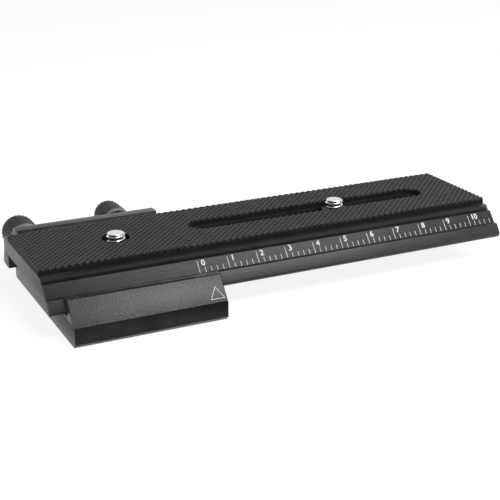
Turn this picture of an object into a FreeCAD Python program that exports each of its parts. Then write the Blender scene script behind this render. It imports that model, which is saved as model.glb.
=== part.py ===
"""Macro focusing rail: a long rail that slides in a short base by rack and pinion.

Millimetres. +X runs along the rail to the right of the scale, +Y points back to the knobs and +Z up.
The origin is the mouth of the tripod thread, on the underside of the base.
"""
import FreeCAD, Part
import math
import os
import re
import Sketcher

DOC = FreeCAD.newDocument("MacroFocusingRail")
SHEET = DOC.addObject("Spreadsheet::Sheet", "Sizes")

# Driving dimensions. "front" and "back" are distances from the screw line, where Y is 0.
SIZES = [
    # base block
    ("base_length", 48.0),
    ("base_front", 33.9),
    ("base_back", 29.7),
    ("base_edge_chamfer", 1.2),
    ("base_end_radius", 0.5),
    ("base_back_radius", 2.0),
    ("base_foot_radius", 1.0),
    ("jaw_foot_height", 6.4),
    ("jaw_height", 13.1),
    ("jaw_land_front", 28.5),
    ("jaw_inner_chamfer", 0.5),
    ("jaw_inner_bevel", 0.25),
    ("floor_height", 7.7),
    ("lip_relief", 0.6),
    ("wall_inner", 24.0),
    ("wall_height", 17.75),
    ("wall_bevel_height", 14.6),
    ("wall_foot_inner", 25.7),
    # rail section, with heights counted up from the rail's underside
    ("foot_gap", 0.3),
    ("way_gap", 0.1),
    ("rail_length", 158.0),
    ("rail_left", 29.0),
    ("rail_height", 9.4),
    ("plate_thick", 5.0),
    ("flange_front", 20.6),
    ("flange_thick", 0.9),
    ("flange_corner_radius", 2.0),
    ("undercut_depth", 0.8),
    ("undercut_height", 0.6),
    ("scale_head_front", 21.0),
    ("scale_foot_front", 23.9),
    ("ledge_height", 4.5),
    ("ledge_front", 25.35),
    ("lip_front", 27.3),
    ("lip_corner_height", 1.5),
    ("lip_nose_front", 27.0),
    ("lip_nose_height", 0.6),
    ("lip_foot_front", 26.2),
    ("lip_foot_inner", 25.4),
    ("channel_front", 17.4),
    ("channel_back", 17.6),
    ("leg_top_back", 22.1),
    ("leg_back", 23.9),
    ("leg_corner_height", 0.8),
    ("leg_foot_back", 23.3),
    # groove along the back leg, and the travel that its ends allow
    ("groove_depth", 1.8),
    ("groove_low", 1.8),
    ("groove_high", 5.9),
    ("travel_left", 98.3),
    ("travel_right", 1.7),
    ("stop_gap", 0.1),
    # rubber pad, and the openings for the camera screws
    ("pad_thick", 1.95),
    ("pad_front", 17.2),
    ("pad_back", 17.05),
    ("pad_corner_radius", 0.4),
    ("pad_opening_width", 9.0),
    ("plate_opening_width", 6.8),
    ("pad_slot_left", 25.85),
    ("pad_slot_end", 15.2),
    # camera screws, 1/4 inch
    ("front_screw_x", 1.0),
    ("slot_screw_x", 79.35),
    ("screw_radius", 3.175),
    ("screw_rise", 3.55),
    ("screw_tip_chamfer", 0.4),
    ("screw_neck_radius", 2.3),
    ("screw_head_radius", 7.0),
    ("screw_head_thick", 1.6),
    ("screw_head_chamfer", 0.3),
    ("coin_slot_width", 1.4),
    ("coin_slot_depth", 0.7),
    ("screw_washer_thick", 0.3),
    ("screw_washer_radius", 4.0),
    ("bush_flange_thick", 0.5),
    ("bush_flange_radius", 4.2),
    ("bush_split", 0.4),
    ("guide_flat", 0.8),
    ("guide_flange_flat", 0.2),
    ("guide_clearance", 0.1),
    ("bush_clearance", 0.05),
    ("stack_gap", 0.05),
    # tripod bush, 3/8 inch outside and 1/4 inch inside
    ("tripod_bush_radius", 4.76),
    ("tripod_bush_length", 7.4),
    ("tripod_thread_radius", 3.2),
    ("tripod_slot_width", 1.2),
    ("tripod_slot_depth", 1.0),
    ("seat_clearance", 0.04),
    # rack and pinion
    ("gear_module", 0.4),
    ("pinion_teeth", 10.0),
    ("pinion_addendum", 0.4),
    ("rack_dedendum", 0.5),
    ("tooth_backlash", 0.16),
    ("tooth_root_flare", 0.05),
    ("tooth_root_sink", 0.075),
    ("rack_body", 0.7),
    ("rack_web", 1.2),
    ("rack_lead_teeth", 3.0),
    ("rack_teeth", 84.0),
    ("rack_side_gap", 0.1),
    ("rack_screw_radius", 0.7),
    ("rack_screw_head_radius", 1.25),
    ("rack_screw_length", 3.2),
    ("rack_screw_inset", 10.0),
    # pinion shaft, its bush and its washers
    ("shaft_inset", 5.02),
    ("shaft_radius", 1.5),
    ("shaft_clearance", 0.05),
    ("pinion_width", 2.8),
    ("pinion_gap", 0.3),
    ("thrust_washer_inset", 0.1),
    ("thrust_washer_thick", 0.5),
    ("shaft_bush_radius", 2.5),
    ("shaft_flange_radius", 3.5),
    ("shaft_flange_thick", 0.8),
    ("drag_washer_radius", 4.2),
    ("drag_washer_thick", 0.6),
    ("disc_spring_radius", 3.6),
    ("disc_spring_thick", 0.4),
    ("disc_spring_height", 0.9),
    # focus knob
    ("focus_knob_radius", 5.8),
    ("focus_knob_start", 32.5),
    ("focus_knob_length", 11.6),
    ("focus_hub_radius", 3.8),
    ("knob_chamfer", 0.5),
    ("knob_recess_radius", 3.4),
    ("knob_recess_depth", 0.6),
    ("knob_bore_depth", 8.6),
    ("knob_bore_end_gap", 0.1),
    ("set_screw_radius", 1.0),
    ("set_screw_length", 3.0),
    ("set_screw_depth", 3.2),
    # lock knob, its screw and its threaded insert
    ("lock_x", 12.35),
    ("lock_height", 13.3),
    ("lock_knob_radius", 5.05),
    ("lock_knob_start", 30.6),
    ("lock_knob_length", 11.6),
    ("lock_hub_radius", 3.2),
    ("lock_hub_length", 0.5),
    ("lock_bore_depth", 7.0),
    ("lock_screw_radius", 2.5),
    ("lock_screw_chamfer", 0.5),
    ("lock_insert_radius", 3.5),
    ("lock_insert_wall", 0.9),
    # gib strip behind the rail's leg
    ("press_travel", 0.3),
    ("press_clearance", 0.02),
    ("gib_thick", 1.9),
    ("gib_left", 12.0),
    ("gib_right", 22.0),
    ("gib_height", 16.0),
    ("gib_tongue_gap", 0.3),
    ("gib_low_gap", 0.1),
    ("gib_pocket_gap", 0.08),
    ("gib_end_gap", 0.15),
    ("gib_screw_radius", 1.5),
    ("gib_screw_length", 4.0),
    ("gib_screw_left", 6.5),
    ("gib_screw_right", 19.4),
    # how far a cut runs past the face it opens
    ("cut_margin", 1.0),
]
VALUE = dict(SIZES)
RACK_SCREWS = 4
PRESSURE_ANGLE = 20.0
FLANK = math.tan(math.radians(PRESSURE_ANGLE))

for row, (alias, number) in enumerate(SIZES, start=1):
    SHEET.set(f"A{row}", alias)
    SHEET.set(f"B{row}", str(number))
    SHEET.setAlias(f"B{row}", alias)
DOC.recompute()

# Heights and depths that several pieces share
FOOT = "(floor_height + foot_gap)"
PLATE_TOP = f"({FOOT} + rail_height)"
PLATE_LOW = f"({PLATE_TOP} - plate_thick)"
FLANGE_LOW = f"({PLATE_TOP} - flange_thick)"
LEDGE = f"({FOOT} + ledge_height)"
RAIL_RIGHT = "(rail_length - rail_left)"
LIP_RUN = "((lip_front - ledge_front) / (ledge_height - lip_corner_height))"
GROOVE_FACE = "(leg_top_back - groove_depth)"

# Pinion and shaft
SHAFT_X = "(shaft_inset - base_length / 2)"
PITCH_RADIUS = "(gear_module * pinion_teeth / 2)"
PINION_TIP = f"({PITCH_RADIUS} + pinion_addendum)"
TOOTH_PITCH = f"(gear_module * {math.pi})"
PITCH_LINE = f"({FOOT} + rack_body + rack_dedendum)"
SHAFT_HEIGHT = f"({PITCH_LINE} + {PITCH_RADIUS})"
SHAFT_BORE = "(shaft_radius + shaft_clearance)"
PINION_FRONT = f"({GROOVE_FACE} + pinion_gap)"
PINION_BACK = f"({PINION_FRONT} + pinion_width)"
THRUST_FRONT = f"({PINION_BACK} + stack_gap)"
THRUST_RADIUS = f"({PINION_TIP} - thrust_washer_inset)"
FLANGE_FRONT = f"({THRUST_FRONT} + thrust_washer_thick + stack_gap)"
FLANGE_BACK = f"({FLANGE_FRONT} + shaft_flange_thick)"
DRAG_BACK = "(base_back + drag_washer_thick)"
SPRING_FRONT = f"({DRAG_BACK} + stack_gap)"
HUB_FRONT = f"({SPRING_FRONT} + disc_spring_height + stack_gap)"
SET_SCREW_BACK = "(focus_knob_start + set_screw_depth)"

# Rack, and the groove whose ends stop the rail
GROOVE_LEFT = f"({SHAFT_X} - {PINION_TIP} - travel_right - stop_gap)"
GROOVE_RIGHT = "(gib_right + travel_left + stop_gap)"
RACK_LEFT = f"({SHAFT_X} - rack_lead_teeth * {TOOTH_PITCH})"
RACK_LENGTH = f"(rack_teeth * {TOOTH_PITCH})"
RACK_SCREW_PITCH = f"(({RACK_LENGTH} - 2 * rack_screw_inset) / {RACK_SCREWS - 1})"
RACK_SCREW_PLACES = [f"({RACK_LEFT} + rack_screw_inset + {place} * {RACK_SCREW_PITCH})"
                     for place in range(RACK_SCREWS)]
RACK_SCREW_BACK = f"((channel_back + {GROOVE_FACE}) / 2)"

# Gib and lock
GIB_FRONT = "(leg_top_back + press_travel + press_clearance)"
GIB_BACK = f"({GIB_FRONT} + gib_thick)"
GIB_SEAT = f"({GIB_BACK} + gib_pocket_gap)"
GIB_LOW = f"({FOOT} + groove_low + gib_low_gap)"
INSERT_FRONT = f"({GIB_SEAT} + lock_insert_wall)"
LOCK_BORE = "(lock_screw_radius + shaft_clearance)"

# Camera screws and their bushes
HEAD_TOP = f"({FOOT} + screw_head_thick)"
BUSH_BORE = "(screw_neck_radius + bush_clearance)"
THREAD_LOW = f"({PLATE_TOP} + bush_flange_thick + 2 * stack_gap)"
SCREW_TOP = f"({PLATE_TOP} + screw_rise)"
PLATE_SLOT_LEFT = "(pad_slot_left + (pad_opening_width - plate_opening_width) / 2)"
PAD_SLOT_RIGHT = f"({RAIL_RIGHT} - pad_slot_end)"
PLATE_SLOT_RIGHT = f"({PAD_SLOT_RIGHT} - (pad_opening_width - plate_opening_width) / 2)"
GUIDE_HALF_WIDTH = "(plate_opening_width / 2 - guide_clearance)"
GUIDE_REACH = f"({GUIDE_HALF_WIDTH} + guide_flat / 2)"
GUIDE_FLANGE_REACH = "(bush_flange_radius + guide_flange_flat / 2)"


def formula(text):
    """Turns the words of a size into references to the sheet's cells."""
    return re.sub(r"[a-z][a-z_]*", lambda word: f"Sizes.{word.group(0)}", text)


def number(text):
    """Gives the present value of a size."""
    return float(SHEET.evalExpression(formula(text)))


def piece(label, along_x="0", along_y="0", along_z="0"):
    """Starts a sub-part whose own origin lies at the given place."""
    body = DOC.addObject("PartDesign::Body", label)
    body.Label = label
    for axis, place in (("x", along_x), ("y", along_y), ("z", along_z)):
        body.setExpression(f"Placement.Base.{axis}", formula(place))
    return body


def origin_item(body, role):
    """Finds one of the sub-part's own origin planes or axes."""
    return next(item for item in body.Origin.OriginFeatures if item.Role == role)


def sketch(body, name, plane, offset="0"):
    """Opens a sketch on an origin plane, moved along the plane's normal: +X, -Y or +Z."""
    drawing = body.newObject("Sketcher::SketchObject", name)
    drawing.AttachmentSupport = [(origin_item(body, f"{plane}_Plane"), "")]
    drawing.MapMode = "FlatFace"
    drawing.setExpression("AttachmentOffset.Base.z", formula(offset))
    drawing.Visibility = False
    return drawing


def hold(drawing, kind, elements, size):
    """Adds a dimension to a sketch and ties it to the sheet."""
    index = drawing.addConstraint(Sketcher.Constraint(kind, *elements, number(size)))
    drawing.setExpression(f"Constraints[{index}]", formula(size))


def outline(drawing, points):
    """Draws a closed outline of straight lines through dimensioned points."""
    count = len(points)
    start = [FreeCAD.Vector(number(across), number(up), 0) for across, up in points]
    for turn in range(count):
        drawing.addGeometry(Part.LineSegment(start[turn], start[(turn + 1) % count]), False)
    for turn in range(count):
        drawing.addConstraint(Sketcher.Constraint("Coincident", turn, 2, (turn + 1) % count, 1))
    for turn, (across, up) in enumerate(points):
        hold(drawing, "DistanceX", (-1, 1, turn, 1), across)
        hold(drawing, "DistanceY", (-1, 1, turn, 1), up)


def rectangle(drawing, left, right, low, high):
    """Draws a closed rectangle between four dimensioned lines."""
    outline(drawing, [(left, low), (right, low), (right, high), (left, high)])


def circle(drawing, across, up, radius):
    """Draws a dimensioned circle."""
    centre = FreeCAD.Vector(number(across), number(up), 0)
    index = drawing.addGeometry(Part.Circle(centre, FreeCAD.Vector(0, 0, 1), number(radius)), False)
    hold(drawing, "DistanceX", (-1, 1, index, 3), across)
    hold(drawing, "DistanceY", (-1, 1, index, 3), up)
    hold(drawing, "Radius", (index,), radius)


def obround(drawing, left, right, half_width):
    """Draws a slot with round ends along the sketch's horizontal axis."""
    centres = (f"{left} + {half_width}", f"{right} - {half_width}")
    corners = [
        (centres[0], half_width),
        (centres[1], half_width),
        (centres[1], f"0 - {half_width}"),
        (centres[0], f"0 - {half_width}"),
    ]
    places = [FreeCAD.Vector(number(across), number(up), 0) for across, up in corners]
    top = drawing.addGeometry(Part.LineSegment(places[0], places[1]), False)
    low = drawing.addGeometry(Part.LineSegment(places[2], places[3]), False)
    quarter = math.pi / 2
    ends = []
    for centre, start_angle in ((centres[1], -quarter), (centres[0], quarter)):
        middle = FreeCAD.Vector(number(centre), 0, 0)
        round_end = Part.Circle(middle, FreeCAD.Vector(0, 0, 1), number(half_width))
        arc = drawing.addGeometry(Part.ArcOfCircle(round_end, start_angle, start_angle + math.pi), False)
        hold(drawing, "DistanceX", (-1, 1, arc, 3), centre)
        ends.append(arc)
    for pair in ((top, 2, ends[0], 2), (low, 1, ends[0], 1), (low, 2, ends[1], 2), (top, 1, ends[1], 1)):
        drawing.addConstraint(Sketcher.Constraint("Coincident", *pair))
    for (line, end), (across, up) in zip(((top, 1), (top, 2), (low, 1), (low, 2)), corners):
        hold(drawing, "DistanceX", (-1, 1, line, end), across)
        hold(drawing, "DistanceY", (-1, 1, line, end), up)


def run(body, kind, drawing, length):
    """Pads a sketch along its plane's normal, or cuts along it, for a length of the sheet."""
    feature = body.newObject(f"PartDesign::{kind}", f"{drawing.Name}{kind}")
    feature.Profile = drawing
    feature.setExpression("Length", formula(length))
    if kind == "Pocket":
        feature.Reversed = True
    check_cut(body, feature)
    return feature


def turned(body, kind, name, plane, axis, points):
    """Turns a closed outline into a round solid, or a round cut, about an axis of its sketch."""
    drawing = sketch(body, name, plane)
    outline(drawing, points)
    feature = body.newObject(f"PartDesign::{kind}", f"{name}{kind}")
    feature.Profile = drawing
    feature.ReferenceAxis = (drawing, [axis])
    feature.Angle = 360
    check_cut(body, feature)
    return feature


def check_cut(body, feature):
    """Recomputes, and stops if a cut has taken nothing away."""
    base = feature.BaseFeature
    DOC.recompute()
    if "Invalid" in feature.State or feature.Shape.isNull():
        raise RuntimeError(f"{feature.Name} fails")
    if feature.TypeId in ("PartDesign::Pocket", "PartDesign::Groove"):
        if body.Shape.Volume > base.Shape.Volume - 1e-6:
            raise RuntimeError(f"{feature.Name} cuts nothing")


def drilled(body, name, plane, offset, length, holes):
    """Cuts round holes, each given by its centre and radius."""
    drawing = sketch(body, name, plane, offset)
    for across, up, radius in holes:
        circle(drawing, across, up, radius)
    return run(body, "Pocket", drawing, length)


def row_along_x(body, name, feature, length, count):
    """Repeats a feature in an even row along X."""
    pattern = body.newObject("PartDesign::LinearPattern", name)
    pattern.Originals = [feature]
    pattern.Direction = (origin_item(body, "X_Axis"), [""])
    pattern.setExpression("Length", formula(length))
    pattern.setExpression("Occurrences", formula(count))
    body.Tip = pattern
    DOC.recompute()


def edges_where(body, test):
    """Names the straight edges of the sub-part whose two ends pass a test together."""
    return [f"Edge{number}" for number, edge in enumerate(body.Tip.Shape.Edges, start=1)
            if len(edge.Vertexes) == 2 and test(edge.Vertexes[0].Point, edge.Vertexes[1].Point)]


def worked_edges(body, kind, name, size_name, size, edges):
    """Rounds or chamfers the named edges of the sub-part."""
    worked = body.Tip
    feature = body.newObject(f"PartDesign::{kind}", name)
    feature.Base = (worked, edges)
    feature.setExpression(size_name, formula(size))
    check_cut(body, feature)


def same(one, other):
    """Says whether two places along an axis are the same."""
    return abs(one - other) < 1e-4


def build_base_block():
    """The base: floor, front jaw with the index slope, and back wall with the bores of both knobs."""
    body = piece("base_block")
    section = sketch(body, "BaseSection", "YZ", "0 - base_length / 2")
    corner = f"({FOOT} + lip_corner_height)"
    inner_high = "(jaw_height - jaw_inner_chamfer)"
    inner_front = f"(ledge_front + way_gap - ({inner_high} - {LEDGE}) * {LIP_RUN})"
    relief = "(lip_front + lip_relief)"
    outline(section, [
        ("0 - base_front", "base_edge_chamfer"),
        ("base_edge_chamfer - base_front", "0"),
        ("base_back", "0"),
        ("base_back", "wall_height"),
        ("wall_inner", "wall_height"),
        ("wall_inner", "wall_bevel_height"),
        ("wall_foot_inner", "floor_height"),
        (f"0 - {relief}", "floor_height"),
        (f"0 - {relief}", corner),
        ("0 - lip_front - way_gap", corner),
        (f"0 - {inner_front}", inner_high),
        (f"0 - {inner_front} - jaw_inner_bevel", "jaw_height"),
        ("0 - jaw_land_front", "jaw_height"),
        ("0 - base_front", "jaw_foot_height"),
    ])
    run(body, "Pad", section, "base_length")
    back = VALUE["base_back"]
    front = -VALUE["base_front"]
    right = VALUE["base_length"] / 2
    top = VALUE["wall_height"]
    for name, radius, height in (("TopEdge", "base_back_radius", top), ("FootEdge", "base_foot_radius", 0)):
        worked_edges(body, "Fillet", name, "Radius", radius, edges_where(
            body, lambda one, other, height=height: same(one.y, back) and same(other.y, back)
            and same(one.z, height) and same(other.z, height)))
    worked_edges(body, "Fillet", "JawEnd", "Radius", "base_end_radius", edges_where(
        body, lambda one, other: same(one.x, right) and same(other.x, right)
        and same(min(one.y, other.y), front) and same(max(one.y, other.y), -VALUE["jaw_land_front"])))
    tripod_hole = "(tripod_bush_radius + seat_clearance)"
    drilled(body, "TripodHole", "XY", "0", "floor_height", [("0", "0", tripod_hole)])
    shaft_hole = (SHAFT_X, SHAFT_HEIGHT, "shaft_bush_radius + seat_clearance")
    flange_seat = (SHAFT_X, SHAFT_HEIGHT, "shaft_flange_radius + seat_clearance")
    insert_hole = ("lock_x", "lock_height", "lock_insert_radius + seat_clearance")
    stud_hole = ("lock_x", "lock_height", "lock_screw_radius + foot_gap")
    gib_holes = [(place, "lock_height", "gib_screw_radius + seat_clearance")
                 for place in ("0 - gib_screw_left", "gib_screw_right")]
    pocket = sketch(body, "GibPocket", "XZ", f"0 - {GIB_SEAT}")
    rectangle(pocket, "0 - gib_left - gib_end_gap", "gib_right + gib_end_gap", "floor_height",
              "gib_height + gib_end_gap")
    run(body, "Pocket", pocket, f"{GIB_SEAT} - wall_inner + cut_margin")
    drilled(body, "ShaftHole", "XZ", "0 - base_back", "base_back - wall_inner", [shaft_hole])
    seat_depth = f"{FLANGE_BACK} - wall_inner + cut_margin"
    drilled(body, "FlangeSeat", "XZ", f"0 - {FLANGE_BACK}", seat_depth, [flange_seat])
    drilled(body, "InsertHole", "XZ", "0 - base_back", f"base_back - {INSERT_FRONT}", [insert_hole])
    drilled(body, "StudHole", "XZ", f"0 - {INSERT_FRONT}", f"{INSERT_FRONT} - wall_inner", [stud_hole])
    drilled(body, "GibScrewHoles", "XZ", "0 - base_back", "base_back - wall_inner", gib_holes)
    return body


def build_tripod_bush():
    """The threaded bush in the floor that reduces a large tripod thread to the small one."""
    body = piece("tripod_bush")
    turned(body, "Revolution", "Bush", "XZ", "V_Axis", [
        ("tripod_thread_radius", "0"),
        ("tripod_bush_radius", "0"),
        ("tripod_bush_radius", "tripod_bush_length"),
        ("tripod_thread_radius", "tripod_bush_length"),
    ])
    key = sketch(body, "KeySlot", "XY")
    rectangle(key, "0 - tripod_bush_radius - cut_margin", "tripod_bush_radius + cut_margin",
              "0 - tripod_slot_width / 2", "tripod_slot_width / 2")
    run(body, "Pocket", key, "tripod_slot_depth")
    return body


def build_ring(label, place, inner, outer, front, back):
    """A plain washer or bush about an axis along Y."""
    body = piece(label, *place)
    turned(body, "Revolution", "Ring", "YZ", "H_Axis", [
        (front, inner), (front, outer), (back, outer), (back, inner)])
    return body


def build_shaft_bush():
    """The flanged bearing bush of the pinion shaft, pressed into the wall from the channel."""
    body = piece("shaft_bush", SHAFT_X, "0", SHAFT_HEIGHT)
    turned(body, "Revolution", "FlangedBush", "YZ", "H_Axis", [
        (FLANGE_FRONT, SHAFT_BORE),
        (FLANGE_FRONT, "shaft_flange_radius"),
        (FLANGE_BACK, "shaft_flange_radius"),
        (FLANGE_BACK, "shaft_bush_radius"),
        ("base_back", "shaft_bush_radius"),
        ("base_back", SHAFT_BORE),
    ])
    return body


def build_gib_set_screws():
    """Two grub screws that back the gib strip, on either side of the lock screw."""
    body = piece("gib_set_screws")
    body.AllowCompound = True
    drawing = sketch(body, "GrubScrews", "XZ", f"0 - {GIB_SEAT} - gib_screw_length")
    for place in ("0 - gib_screw_left", "gib_screw_right"):
        circle(drawing, place, "lock_height", "gib_screw_radius")
    run(body, "Pad", drawing, "gib_screw_length")
    return body


def build_gib_strip():
    """The brass strip that presses the rail's leg, with a tongue that keeps the rail down in the base."""
    body = piece("gib_strip")
    tongue = f"({GROOVE_FACE} + press_travel + gib_tongue_gap)"
    tongue_high = f"({FOOT} + groove_high - gib_tongue_gap)"
    section = sketch(body, "GibSection", "YZ", "0 - gib_left")
    outline(section, [
        (tongue, GIB_LOW),
        (GIB_BACK, GIB_LOW),
        (GIB_BACK, "gib_height"),
        (GIB_FRONT, "gib_height"),
        (GIB_FRONT, tongue_high),
        (tongue, tongue_high),
    ])
    run(body, "Pad", section, "gib_left + gib_right")
    return body


def knob_outline(start, length, radius, hub_front, hub_radius, bore_radius, bore_depth):
    """The half section of a knob: hub, chamfered grip, dished end and blind bore."""
    end = f"({start} + {length})"
    return [
        (hub_front, bore_radius),
        (hub_front, hub_radius),
        (start, hub_radius),
        (start, f"{radius} - knob_chamfer"),
        (f"{start} + knob_chamfer", radius),
        (f"{end} - knob_chamfer", radius),
        (end, f"{radius} - knob_chamfer"),
        (end, "knob_recess_radius"),
        (f"{end} - knob_recess_depth", "knob_recess_radius"),
        (f"{end} - knob_recess_depth", "0"),
        (f"{start} + {bore_depth}", "0"),
        (f"{start} + {bore_depth}", bore_radius),
    ]


def build_focus_knob():
    """The larger knob, which turns the pinion."""
    body = piece("focus_knob", SHAFT_X, "0", SHAFT_HEIGHT)
    turned(body, "Revolution", "Grip", "YZ", "H_Axis", knob_outline(
        "focus_knob_start", "focus_knob_length", "focus_knob_radius", HUB_FRONT, "focus_hub_radius",
        "(shaft_radius + seat_clearance)", "knob_bore_depth"))
    drilled(body, "SetScrewHole", "XY", "0 - focus_knob_radius", "focus_knob_radius - shaft_radius",
            [("0", SET_SCREW_BACK, "set_screw_radius + seat_clearance")])
    return body


def build_knob_set_screw():
    """The grub screw that holds the focus knob on its shaft, on the underside of the knob."""
    body = piece("knob_set_screw", SHAFT_X, "0", SHAFT_HEIGHT)
    drawing = sketch(body, "GrubScrew", "XY", "0 - shaft_radius - stack_gap - set_screw_length")
    circle(drawing, "0", SET_SCREW_BACK, "set_screw_radius")
    run(body, "Pad", drawing, "set_screw_length")
    return body


def build_pinion_shaft():
    """The steel shaft with the pinion's teeth cut on its inner end."""
    body = piece("pinion_shaft", SHAFT_X, "0", SHAFT_HEIGHT)
    shaft_end = "(focus_knob_start + knob_bore_depth - knob_bore_end_gap)"
    turned(body, "Revolution", "Shaft", "YZ", "H_Axis", [
        (PINION_FRONT, "0"), (PINION_FRONT, "shaft_radius"), (shaft_end, "shaft_radius"), (shaft_end, "0")])
    half_pitch = f"({TOOTH_PITCH} / 4 - tooth_backlash / 2)"
    tooth = sketch(body, "Tooth", "XZ", f"0 - {PINION_BACK}")
    outline(tooth, [
        (f"0 - {half_pitch} - tooth_root_flare", "tooth_root_sink - shaft_radius"),
        (f"0 - {half_pitch}", f"0 - {PITCH_RADIUS}"),
        (f"0 - {half_pitch} / 2", f"0 - {PINION_TIP}"),
        (f"{half_pitch} / 2", f"0 - {PINION_TIP}"),
        (half_pitch, f"0 - {PITCH_RADIUS}"),
        (f"{half_pitch} + tooth_root_flare", "tooth_root_sink - shaft_radius"),
    ])
    pad = run(body, "Pad", tooth, "pinion_width")
    teeth = body.newObject("PartDesign::PolarPattern", "Teeth")
    teeth.Originals = [pad]
    teeth.Axis = (origin_item(body, "Y_Axis"), [""])
    teeth.Angle = 360
    teeth.setExpression("Occurrences", formula("pinion_teeth"))
    body.Tip = teeth
    DOC.recompute()
    return body


def build_disc_spring():
    """The conical spring washer that loads the drag washer."""
    body = piece("disc_spring", SHAFT_X, "0", SHAFT_HEIGHT)
    back = f"({SPRING_FRONT} + disc_spring_height)"
    turned(body, "Revolution", "Cone", "YZ", "H_Axis", [
        (SPRING_FRONT, "disc_spring_radius"),
        (f"{SPRING_FRONT} + disc_spring_thick", "disc_spring_radius"),
        (back, "shaft_radius + rack_side_gap"),
        (f"{back} - disc_spring_thick", "shaft_radius + rack_side_gap"),
    ])
    return body


def build_lock_knob():
    """The smaller knob, which drives the lock screw."""
    body = piece("lock_knob", "lock_x", "0", "lock_height")
    turned(body, "Revolution", "Grip", "YZ", "H_Axis", knob_outline(
        "lock_knob_start", "lock_knob_length", "lock_knob_radius", "(lock_knob_start - lock_hub_length)",
        "lock_hub_radius", "(lock_screw_radius + seat_clearance)", "lock_bore_depth"))
    return body


def build_lock_screw():
    """The stud of the lock knob, whose tip bears on the gib strip."""
    body = piece("lock_screw", "lock_x", "0", "lock_height")
    end = "(lock_knob_start + lock_bore_depth - knob_bore_end_gap)"
    turned(body, "Revolution", "Stud", "YZ", "H_Axis", [
        (GIB_BACK, "0"),
        (GIB_BACK, "lock_screw_radius - lock_screw_chamfer"),
        (f"{GIB_BACK} + lock_screw_chamfer", "lock_screw_radius"),
        (end, "lock_screw_radius"),
        (end, "0"),
    ])
    return body


def build_rail_plate():
    """The rail: a deck with a front flange, a sloped scale face and lip, and a grooved leg at the back."""
    body = piece("rail_plate")
    deck = sketch(body, "Deck", "XY", FLANGE_LOW)
    rectangle(deck, "0 - rail_left", RAIL_RIGHT, "0 - flange_front", "leg_top_back")
    run(body, "Pad", deck, "flange_thick")
    front = -VALUE["flange_front"]
    worked_edges(body, "Fillet", "FlangeCorners", "Radius", "flange_corner_radius", edges_where(
        body, lambda one, other: same(one.y, front) and same(other.y, front) and same(one.x, other.x)))
    section = sketch(body, "RailSection", "YZ", "0 - rail_left")
    undercut = "(undercut_depth - flange_front)"
    outline(section, [
        (undercut, FLANGE_LOW),
        (undercut, f"{FLANGE_LOW} - undercut_height"),
        ("0 - scale_head_front", f"{FLANGE_LOW} - undercut_height"),
        ("0 - scale_foot_front", LEDGE),
        ("0 - ledge_front", LEDGE),
        ("0 - lip_front", f"{FOOT} + lip_corner_height"),
        ("0 - lip_nose_front", f"{FOOT} + lip_nose_height"),
        ("0 - lip_foot_front", FOOT),
        ("0 - lip_foot_inner", FOOT),
        ("0 - channel_front", PLATE_LOW),
        ("channel_back", PLATE_LOW),
        ("channel_back", FOOT),
        ("leg_foot_back", FOOT),
        ("leg_back", f"{FOOT} + leg_corner_height"),
        ("leg_top_back", f"{FOOT} + groove_high"),
        ("leg_top_back", FLANGE_LOW),
    ])
    run(body, "Pad", section, "rail_length")
    groove = sketch(body, "Groove", "YZ", GROOVE_LEFT)
    rectangle(groove, GROOVE_FACE, "leg_back + cut_margin", f"{FOOT} + groove_low", f"{FOOT} + groove_high")
    run(body, "Pocket", groove, f"{GROOVE_RIGHT} - {GROOVE_LEFT}")
    seat = sketch(body, "RackSeat", "YZ", GROOVE_LEFT)
    outline(seat, [
        ("channel_back - cut_margin", f"{FOOT} - cut_margin"),
        ("leg_back + cut_margin", f"{FOOT} - cut_margin"),
        ("leg_back + cut_margin", f"{FOOT} + groove_low"),
        (GROOVE_FACE, f"{FOOT} + groove_low"),
        (GROOVE_FACE, f"{FOOT} + rack_web"),
        ("channel_back - cut_margin", f"{FOOT} + rack_web"),
    ])
    run(body, "Pocket", seat, f"{RACK_LEFT} + {RACK_LENGTH} + rack_side_gap - {GROOVE_LEFT}")
    hole_radius = "rack_screw_radius + seat_clearance"
    screw_holes = [(place, RACK_SCREW_BACK, hole_radius) for place in RACK_SCREW_PLACES]
    hole_depth = "rack_screw_length - rack_web + stop_gap"
    drilled(body, "RackScrewHoles", "XY", f"{FOOT} + rack_web", hole_depth, screw_holes)
    bush_hole = ("front_screw_x", "0", "plate_opening_width / 2")
    drilled(body, "FrontScrewHole", "XY", PLATE_LOW, "plate_thick", [bush_hole])
    slot = sketch(body, "ScrewSlot", "XY", PLATE_LOW)
    obround(slot, PLATE_SLOT_LEFT, PLATE_SLOT_RIGHT, "plate_opening_width / 2")
    run(body, "Pocket", slot, "plate_thick")
    return body


def build_rubber_pad():
    """The rubber pad on the deck, open round both camera screws."""
    body = piece("rubber_pad")
    sheet = sketch(body, "Sheet", "XY", PLATE_TOP)
    rectangle(sheet, "0 - rail_left", RAIL_RIGHT, "0 - pad_front", "pad_back")
    run(body, "Pad", sheet, "pad_thick")
    worked_edges(body, "Fillet", "PadCorners", "Radius", "pad_corner_radius", edges_where(
        body, lambda one, other: same(one.x, other.x) and same(one.y, other.y)))
    flange_hole = ("front_screw_x", "0", "pad_opening_width / 2")
    drilled(body, "PadHole", "XY", PLATE_TOP, "pad_thick", [flange_hole])
    slot = sketch(body, "PadSlot", "XY", PLATE_TOP)
    obround(slot, "pad_slot_left", PAD_SLOT_RIGHT, "pad_opening_width / 2")
    run(body, "Pocket", slot, "pad_thick")
    return body


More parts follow.
